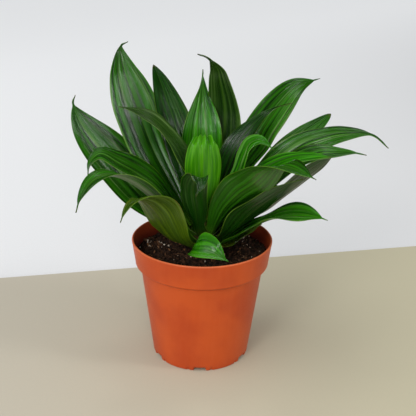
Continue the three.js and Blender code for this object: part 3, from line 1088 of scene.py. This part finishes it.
@dataclass(frozen=True)
class Leaf:
    """One pleated, lance-shaped leaf along its rib.

    Attributes:
        name: the CAD node that it stands for.
        tone: which finish it has.
        angle: compass angle at which it leaves the stem.
        width: its greatest width.
        widest: where along the blade that is.
        fold: how far the two halves rise from the rib, in degrees.
        roll: turn about the rib at mid length and at the tip, in degrees.
        tail: length of the drip tip.
        rib: points of the rib, each distance from the stem's axis, height and a step sideways.
        shape: how fast the blade fills out from its base and narrows to its tip; above 1 the tip
            is drawn out, below 1 it is blunt.
        skew: how much wider the half on the leaf's left is than the other.
        tail_width: width of the drip tip.
        pleats: how many pleats cross the blade.
        pleat_depth: their height.
        wave: how far the margins wander up and down.
        crumple: a deeper zigzag near the end of a creased leaf, as (where, depth).
    """

    name: str
    tone: LeafTone
    angle: float
    width: float
    widest: float
    fold: float
    roll: tuple[float, float]
    tail: float
    rib: tuple[tuple[float, ...], ...]
    shape: tuple[float, float] = (0.75, 0.85)
    skew: float = 0.0
    tail_width: float = 1.8
    pleats: float = 5.0
    pleat_depth: float = 0.36
    wave: float = 1.2
    crumple: tuple[float, float] = (0.0, 0.0)

    BASE_FOLD = 30.0
    BASE_REACH = 0.1
    BASE_WIDTH = 15.0
    ROLL_REACH = 0.45
    TROUGH = 1.4
    RIB_THICK = 0.9
    EDGE_THICK = 0.35
    ROWS = 110
    COLUMNS = 45

    def rib_line(self) -> tuple[np.ndarray, np.ndarray, float]:
        """The rib as a smooth curve sampled by arc length.

        Uniform Catmull-Rom through the rib's points, whose two end points are reflected to start
        and finish it: half of (2b + (c - a)t + (2a - 5b + 4c - d)t^2 + (3b - a - 3c + d)t^3).

        Returns:
            Points and unit tangents at the leaf's rows, and the rib's length.
        """
        outward, sideways = direction(self.angle), direction(self.angle + 90)
        rows = np.array([(*point, 0.0)[:3] for point in self.rib])
        spots = rows[:, :1] * outward + rows[:, 2:] * sideways + rows[:, 1:2] * np.array([0, 0, 1.0])
        spots = np.concatenate([[2 * spots[0] - spots[1]], spots, [2 * spots[-1] - spots[-2]]])
        a, b, c, d = spots[:-3, None], spots[1:-2, None], spots[2:-1, None], spots[3:, None]
        t = np.linspace(0, 1, 80, endpoint=False)[None, :, None]
        dense = 0.5 * (2 * b + (c - a) * t + (2 * a - 5 * b + 4 * c - d) * t ** 2
                       + (3 * b - a - 3 * c + d) * t ** 3)
        dense = np.concatenate([dense.reshape(-1, 3), spots[-2:-1]])
        run = np.concatenate([[0], np.cumsum(np.linalg.norm(np.diff(dense, axis=0), axis=1))])
        slope = np.gradient(dense, run, axis=0)
        at = np.linspace(0, run[-1], self.ROWS)
        centre = np.stack([np.interp(at, run, dense[:, n]) for n in range(3)], -1)
        forward = np.stack([np.interp(at, run, slope[:, n]) for n in range(3)], -1)
        forward /= np.linalg.norm(forward, axis=1, keepdims=True)
        return centre, forward, float(run[-1])

    def half_width(self, along: np.ndarray, length: float) -> np.ndarray:
        """Half the blade's width: a lance, a sheath at the base and a thin tail.

        The lance is a quarter sine up to the widest place and a quarter cosine from there to the
        tip, each raised to its own power in shape.
        """
        blade = np.minimum(along / (1 - self.tail / length), 1)
        to_widest = np.clip(blade / self.widest, 0, 1)
        past_widest = np.clip((blade - self.widest) / (1 - self.widest), 0, 1)
        swell, taper = self.shape
        lance = (np.sin(math.pi / 2 * to_widest) ** swell
                 * np.abs(np.cos(math.pi / 2 * past_widest)) ** taper)
        sheath = min(self.BASE_WIDTH / self.width, 0.9) * (1 - blade) ** 3
        half = 0.5 * self.width * np.maximum(lance, sheath)
        tail = 0.5 * self.tail_width * (1.3 - 0.6 * along) * (1 - 0.7 * smoothstep(0.96, 1, along))
        return np.maximum(half, tail)

    def roll_at(self, along: np.ndarray) -> np.ndarray:
        """Turn about the rib: a quarter sine up to mid length, then eased to the tip's."""
        middle, tip = self.roll
        early = middle * np.sin(math.pi / 2 * along / self.ROLL_REACH)
        late = middle + (tip - middle) * smoothstep(self.ROLL_REACH, 1, along)
        return np.radians(np.where(along < self.ROLL_REACH, early, late))

    def seed(self) -> int:
        """A number of the leaf's own for its random draws."""
        return sum(ord(letter) * (place_in + 1) for place_in, letter in enumerate(self.name))

    def surface(self) -> Surface:
        """Both faces of the blade over (along, across), joined round the margin.

        Point = rib + across * half width * u + normal * lift.  The lift is the trough's
        |u|^1.4 times the fold, the pleats' cosine of u, the margin's slow wave that grows with
        |u|^3, and a shallow crease over the rib.  Each face stands half the thickness off it.

        Returns:
            The closed surface with its map and its colouring attributes.
        """
        centre, forward, length = self.rib_line()
        along = np.linspace(0, 1, self.ROWS)
        u = np.sin(np.linspace(-1, 1, self.COLUMNS) * math.pi / 2 * 0.82)
        u = (u / u[-1])[None, :]
        side = np.repeat(direction(self.angle + 90)[None], self.ROWS, axis=0)
        side = side - forward * np.einsum("ij,ij->i", side, forward)[:, None]
        side /= np.linalg.norm(side, axis=1, keepdims=True)
        upward = np.cross(forward, side)
        roll = self.roll_at(along)[:, None]
        across = side * np.cos(roll) + upward * np.sin(roll)
        normal = np.cross(forward, across)
        half = self.half_width(along, length)[:, None]
        fold = self.fold + (self.BASE_FOLD - self.fold) * np.exp(-along / self.BASE_REACH)
        lift = half * np.tan(np.radians(fold))[:, None] * np.abs(u) ** self.TROUGH

        draw = np.random.default_rng(self.seed())
        phase = draw.uniform(0, 2 * math.pi, 6)
        v = along[:, None]
        wander = 0.35 * np.sin(2 * math.pi * v * 1.3 + phase[0])
        turn = math.pi * self.pleats * u + wander * u + phase[1] * 0.3
        pleat = (0.55 * np.cos(turn) + 0.45 * np.cos(1.62 * turn + phase[4])
                 + 0.3 * np.cos(2.7 * turn + phase[5]))
        body = np.clip(half / (0.3 * self.width), 0, 1)
        calm = 1 - smoothstep(0.86, 1.0, np.abs(u))
        lift = lift + self.pleat_depth * pleat * body * calm * (0.55 + 0.45 * np.sin(math.pi * v))
        rate = draw.uniform(1.6, 2.6, 2)
        left = np.sin(2 * math.pi * rate[0] * v + phase[2])
        right = np.sin(2 * math.pi * rate[1] * v + phase[3])
        lift = lift + self.wave * body * np.where(u < 0, left, right) * np.abs(u) ** 3
        lift = lift - 0.3 * body * np.exp(-(u / 0.06) ** 2)
        spot, depth = self.crumple
        near = np.exp(-((v - spot) / 0.09) ** 2) if depth else 0 * v
        zigzag = np.arcsin(np.clip(np.cos(math.pi * (self.pleats * 0.7) * u + phase[1]), -1, 1))
        lift = lift + depth * near * zigzag * body * 0.6

        thick = (self.RIB_THICK + (self.EDGE_THICK - self.RIB_THICK) * np.abs(u) ** 0.7) / 2
        thick = np.repeat(thick, self.ROWS, axis=0)[..., None]
        lean = 1 + self.skew * np.sign(u)
        sheet = centre[:, None] + across[:, None] * (half * u * lean)[..., None]
        sheet = sheet + normal[:, None] * lift[..., None]
        upper = sheet + normal[:, None] * thick
        under = (sheet - normal[:, None] * thick)[:, ::-1]
        loop = np.concatenate([upper, under], axis=1)
        count = 2 * self.COLUMNS
        cap = np.arange(self.COLUMNS - 1)
        first = np.stack([cap, count - 1 - cap, count - 2 - cap, cap + 1], -1)
        last = first[:, ::-1] + (self.ROWS - 1) * count
        faces = [grid_faces(self.ROWS, count, closed=True), first[:, ::-1], last[:, ::-1]]
        map_u = np.repeat((u + 1) / 2, self.ROWS, axis=0)
        map_u = np.concatenate([map_u, map_u[:, ::-1]], axis=1)
        map_v = np.repeat(v, count, axis=1)
        # pleat values for the colour: painted light on the crests, painted shade in the valleys
        crest = pleat * body * calm
        crest = np.concatenate([crest, -crest[:, ::-1]], axis=1)
        is_upper = np.concatenate([np.ones((self.ROWS, self.COLUMNS)),
                                   np.zeros((self.ROWS, self.COLUMNS))], axis=1)
        return Surface(
            loop.reshape(-1, 3), faces, uv=np.stack([map_u, map_v], -1).reshape(-1, 2),
            attributes={"pleat": crest.reshape(-1), "upper_face": is_upper.reshape(-1),
                        "variety": np.full(loop[..., 0].size, draw.uniform())},
        ).facing_out()


@dataclass
class Foliage:
    """The rosette: every leaf, with one material for each tone."""

    leaves: tuple[Leaf, ...]
    finishes: tuple[LeafFinish, ...]

    def build(self) -> None:
        """Makes each leaf in place of its CAD node."""
        skins = {finish.tone: finish.material() for finish in self.finishes}
        for leaf in self.leaves:
            piece = leaf.surface().to_object(f"{leaf.name}_blade")
            place(piece, "leaf", skins[leaf.tone], leaf.name)


DEEP, MID, BRIGHT = LeafTone.DEEP, LeafTone.MID, LeafTone.BRIGHT
VIVID, OLIVE, DUSKY = LeafTone.VIVID, LeafTone.OLIVE, LeafTone.DUSKY

LEAVES = (
    Leaf("leaf_left_outer", MID, 165, 40, 0.62, 12, (-30, -36), 8,
         ((9, 90), (43, 119), (67, 144), (94, 174), (103, 191), (101, 199)), tail_width=2.2),
    Leaf("leaf_left_arching", MID, 188, 28, 0.5, 14, (-20, -20), 5,
         ((9, 98), (33, 134), (49, 148), (63, 157), (75, 164), (83, 157), (85, 145))),
    Leaf("leaf_left_drooping", MID, 212, 30, 0.5, 14, (8, 0), 5,
         ((9, 92), (32, 122), (48, 140), (64, 153), (77, 158), (88, 155), (97, 145), (101, 135))),
    Leaf("leaf_front_left_broad", OLIVE, 229, 26, 0.5, 10, (38, 10), 3,
         ((9, 89), (26, 101), (36, 116), (44, 129), (54, 139), (64, 144), (73, 143), (79, 138),
          (83, 132))),
    Leaf("leaf_back_left_tall", MID, 140, 37, 0.63, 12, (-24, -30), 8,
         ((8, 104), (34, 133), (54, 159), (74, 197), (83, 215), (86, 231), (78, 236)),
         skew=0.14, tail_width=2.4),
    Leaf("leaf_left_inner_arching", DUSKY, 202, 24, 0.5, 12, (-35, -25), 4,
         ((7, 114), (10, 138), (15, 156), (22, 171), (31, 182), (40, 191), (51, 198), (63, 202))),
    Leaf("leaf_back_left_dark", DEEP, 122, 26, 0.5, 12, (-20, -20), 0,
         ((8, 109), (24, 143), (40, 171), (52, 187), (66, 204), (79, 216)), shape=(0.9, 0.75)),
    Leaf("leaf_centre_upright", BRIGHT, 96, 31, 0.42, 14, (0, 50), 4,
         ((5, 124), (13, 144), (17, 161), (18, 176), (21, 193), (22, 208), (14, 222)), shape=(0.9, 1.2)),
    Leaf("leaf_back_right_tailed", DUSKY, 56, 31, 0.46, 12, (8, 8), 16,
         ((7, 115), (24, 160), (28, 183), (26, 198), (20, 214), (16, 223), (4, 232), (-9, 236)),
         tail_width=2.8),
    Leaf("leaf_centre_front", VIVID, 270, 26, 0.55, 12, (0, 0), 0,
         ((7, 116), (15, 134), (21, 153), (26, 170), (26, 178), (19, 181), (12, 178)),
         shape=(0.8, 0.7), crumple=(0.86, 3.0)),
    Leaf("leaf_right_inner_twisted", DEEP, 9, 20, 0.3, 12, (60, 0), 3,
         ((6, 121), (13, 135), (19, 153), (27, 171, 2), (41, 186, 5), (54, 193, 10), (70, 195, 19)),
         shape=(0.7, 1.6)),
    Leaf("leaf_right_small_arching", BRIGHT, -22, 19, 0.6, 12, (45, 20), 3,
         ((7, 119, -1), (20, 136, -5), (29, 151, -4), (33, 165, -1), (36, 174), (44, 178), (54, 172))),
    Leaf("leaf_back_right_tall", MID, 35, 32, 0.52, 12, (14, 35), 6,
         ((8, 110), (23, 132), (34, 148), (48, 162), (57, 176), (72, 192), (89, 204), (112, 208))),
    Leaf("leaf_right_blunt", MID, 18, 22, 0.6, 12, (30, 30), 0,
         ((9, 97), (40, 131), (61, 153), (77, 167), (92, 179), (102, 187)), shape=(0.9, 0.6)),
    Leaf("leaf_right_long", MID, 2, 27, 0.52, 12, (30, 30), 16,
         ((8, 103), (39, 135), (59, 157), (74, 169), (89, 175), (103, 178), (123, 178), (137, 168)),
         tail_width=3.2),
    Leaf("leaf_right_level", MID, -14, 24, 0.5, 12, (25, 30), 6,
         ((8, 107), (28, 130), (50, 146), (71, 163), (84, 170), (95, 172), (107, 173), (117, 172))),
    Leaf("leaf_right_ribbed", BRIGHT, -29, 24, 0.5, 12, (25, 30), 3,
         ((7, 110), (23, 131), (39, 148), (53, 158), (65, 166), (76, 171), (87, 174), (98, 176))),
    Leaf("leaf_front_right_arching", MID, -50, 31, 0.58, 8, (-40, 25), 4,
         ((9, 98), (14, 110), (24, 127), (39, 143), (53, 154), (67, 167), (80, 173), (94, 174),
          (110, 172))),
    Leaf("leaf_front_right_dark", DEEP, -29, 29, 0.5, 10, (-27, -15), 4,
         ((9, 92), (26, 107), (41, 125), (57, 140), (70, 152), (79, 157))),
    Leaf("leaf_right_broad", DEEP, -1, 36, 0.6, 8, (-32, -40), 4,
         ((9, 95), (24, 104), (36, 112), (55, 127), (72, 142), (86, 155), (98, 167))),
    Leaf("leaf_right_low", BRIGHT, -10, 32, 0.62, 10, (-8, 20), 4,
         ((9, 89), (25, 98), (35, 106), (45, 112), (57, 118), (70, 121), (82, 121), (94, 118))),
    Leaf("leaf_right_narrow", OLIVE, 14, 14, 0.5, 12, (0, 0), 3,
         ((9, 86), (19, 88), (29, 92), (38, 98), (48, 103)), pleats=3.0),
    Leaf("leaf_front_small", BRIGHT, -60, 20, 0.6, 8, (50, 40), 1,
         ((6.3, 86, -7.1), (15, 93, -17.9), (24.5, 96, -17.6), (32.6, 96, -9.6), (39.4, 91, 0.3)),
         shape=(1.6, 1.4), skew=0.6, pleats=3.0, pleat_depth=0.1, wave=0.4),
    Leaf("leaf_front_folded", DEEP, 257, 20, 0.6, 12, (0, 0), 3,
         ((9, 101), (19, 121), (29, 141), (37, 153, 3), (42, 158, 8), (47, 155, 10), (50, 147, 7))),
    Leaf("leaf_back_low_right", MID, 42, 28, 0.5, 12, (0, 0), 5,
         ((9, 89), (34, 104), (56, 116), (78, 120), (92, 116))),
    Leaf("leaf_back_right", DEEP, 66, 28, 0.5, 12, (0, 0), 5,
         ((9, 101), (34, 124), (58, 139), (80, 146), (96, 144))),
    Leaf("leaf_back_middle", MID, 90, 27, 0.5, 12, (0, 0), 5,
         ((9, 91), (32, 110), (54, 124), (76, 130), (90, 126))),
    Leaf("leaf_back_left", DEEP, 112, 28, 0.5, 12, (0, 0), 5,
         ((9, 94), (32, 117), (52, 136), (72, 147), (86, 145))),
    Leaf("leaf_back_low_left", MID, 136, 27, 0.5, 12, (0, 0), 5,
         ((9, 87), (32, 103), (54, 116), (74, 120), (86, 116))),
)


# ------------------------------------------------------------------ studio


@dataclass(frozen=True)
class Softbox:
    """A large soft lamp that points at the plant."""

    name: str
    place: tuple[float, float, float]
    width: float
    height: float
    power: float

    AIM_HEIGHT = 0.13

    def build(self) -> None:
        """Makes the lamp, facing the middle of the rosette."""
        lamp = bpy.data.lights.new(self.name, "AREA")
        lamp.shape = "RECTANGLE"
        lamp.size, lamp.size_y = self.width, self.height
        lamp.energy = self.power
        holder = add_object(self.name, lamp)
        spot = Vector(self.place)
        holder.matrix_world = Matrix.Translation(spot) @ aimed(Vector((0, 0, self.AIM_HEIGHT)) - spot)


@dataclass
class Studio:
    """Pale board on a pale grey sweep, soft light, and the camera."""

    camera_at: tuple[float, float, float] = (4.06, -493.98, 308.26)
    look_down: float = 20.88
    roll: float = 1.068
    lens: float = 60.27
    board_edge: tuple[tuple[float, float], tuple[float, float]] = ((-196.8, 112.7), (233.8, 208.8))
    board_reach: float = 14.0
    sweep_reach: float = 30.0
    sweep_drop: float = 0.002
    boxes: tuple[Softbox, ...] = (
        Softbox("key_softbox", (-0.6, -1.15, 0.85), 0.35, 0.35, 5.0),
        Softbox("right_softbox", (0.85, -0.3, 1.0), 0.16, 0.5, 3.2),
        Softbox("front_softbox", (0.3, -1.5, 0.45), 0.25, 0.4, 4.0),
        Softbox("top_softbox", (-0.2, 0.25, 1.4), 0.2, 0.2, 1.2),
    )
    sun_heading: tuple[float, float, float] = (0.62, 0.42, -0.85)
    sun_spread: float = 70.0
    sun_strength: float = 1.35
    sky_strength: float = 0.50

    def camera(self) -> None:
        """Sets the camera: level heading along +Y, tipped down, rolled about its view axis."""
        lens = bpy.data.cameras.new("studio_camera")
        lens.lens = self.lens
        lens.sensor_width = 36.0
        lens.clip_start, lens.clip_end = 0.01, 100.0
        holder = add_object("studio_camera", lens)
        tip = Matrix.Rotation(math.radians(90 - self.look_down), 4, "X")
        twist = Matrix.Rotation(math.radians(self.roll), 4, "Z")
        holder.matrix_world = Matrix.Translation(Vector(self.camera_at) * MM) @ tip @ twist
        bpy.context.scene.camera = holder

    def sheet(self, name: str, corners: list[tuple[float, float, float]],
              finish: bpy.types.Material) -> None:
        """A flat stage sheet through its corners, in metres."""
        mesh = bpy.data.meshes.new(name)
        mesh.from_pydata(corners, [], [tuple(range(len(corners)))])
        mesh.materials.append(finish)
        add_object(name, mesh)

    def paper(self, name: str, left: Colour, right: Colour, reach: float,
              far: float) -> bpy.types.Material:
        """Matt stage paper whose tone drifts over its length, a painted light falloff.

        Args:
            name: the material's name.
            left: its tone to the left and far away.
            right: its tone to the right and near.
            reach: metres sideways over which it drifts.
            far: metres towards the back over which it drifts, below 0 to turn the drift round.

        Returns:
            The material.
        """
        material, nodes, shader = new_material(name)
        where = nodes.coordinates("Object")
        place_at = nodes.axes(where)
        # painted light: the drift from the lighter to the darker tone stands for the lamps' falloff over
        # the paper
        aside = nodes.math("DIVIDE", place_at["X"], reach)
        share = nodes.plus(aside, nodes.math("DIVIDE", place_at["Y"], -far))
        share = nodes.ramp(share, -1.0, 1.0)
        grain = nodes.noise(where, 500.0, 2.0)
        tone = nodes.mix(share, left, right)
        speck = nodes.ramp(grain, 0.3, 0.7, 0.0, 0.04)
        nodes.feed(shader.inputs["Base Color"], nodes.mix(speck, tone, (0.3, 0.3, 0.3)))
        shader.inputs["Roughness"].default_value = 0.9
        shader.inputs["Specular IOR Level"].default_value = 0.2
        return material

    def build(self) -> None:
        """Makes the stage, the lamps, the sky and the camera."""
        self.camera()
        (x0, y0), (x1, y1) = self.board_edge
        slope = (y1 - y0) / (x1 - x0)
        far, wide, drop = self.board_reach, self.sweep_reach, self.sweep_drop
        left_end, right_end = (y0 * MM + slope * (x - x0 * MM) for x in (-far, far))
        board = [(-far, left_end, 0), (-far, -far, 0), (far, -far, 0), (far, right_end, 0)]
        # painted light: the board is lighter to the left and darker to the right and back, as the lamps'
        # falloff leaves it
        self.sheet("stage_board", board, self.paper(
            "stage_board", (0.51, 0.465, 0.375), (0.49, 0.45, 0.315), 0.25, -9.0))
        sweep = [(-wide, -wide, -drop), (wide, -wide, -drop), (wide, wide, -drop), (-wide, wide, -drop)]
        # painted light: the sweep fades from near white at the left and back to mid grey at the right and
        # front, as the lamps' falloff leaves it
        self.sheet("stage_sweep", sweep, self.paper(
            "stage_sweep", (0.98, 0.98, 0.98), (0.42, 0.42, 0.42), 1.6, 2.2))
        for box in self.boxes:
            box.build()
        sun = bpy.data.lights.new("window_light", "SUN")
        sun.energy, sun.angle = self.sun_strength, math.radians(self.sun_spread)
        holder = add_object("window_light", sun)
        holder.matrix_world = aimed(Vector(self.sun_heading))
        holder.visible_glossy = False
        world = bpy.data.worlds.new("studio_sky")
        world.use_nodes = True
        sky = world.node_tree.nodes["Background"]
        sky.inputs["Color"].default_value = (0.94, 0.97, 1.0, 1.0)
        sky.inputs["Strength"].default_value = self.sky_strength
        world.cycles_visibility.glossy = False
        bpy.context.scene.world = world
        bpy.context.scene.view_settings.view_transform = "Standard"
        log.info("studio ready")


# ------------------------------------------------------------------ assembly


def main() -> None:
    """Builds the sub-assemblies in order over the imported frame."""
    Studio().build()
    pot_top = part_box("pot")[1]
    mix_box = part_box("potting_mix")
    pot = Pot(height=pot_top.z / MM, rim_radius=pot_top.x / MM)
    soil_line = mix_box[1].z / MM - 2
    pot.build(PlasticFinish(), soil_line)
    PottingMix(edge_radius=pot.inner_radius(soil_line) - 0.1).build()
    stem_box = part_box("stem")
    Stem(root_depth=stem_box[0].z / MM, tip_height=stem_box[1].z / MM).build(StemFinish())
    Foliage(LEAVES, LEAF_FINISHES).build()


if __name__ == "__main__":
    main()
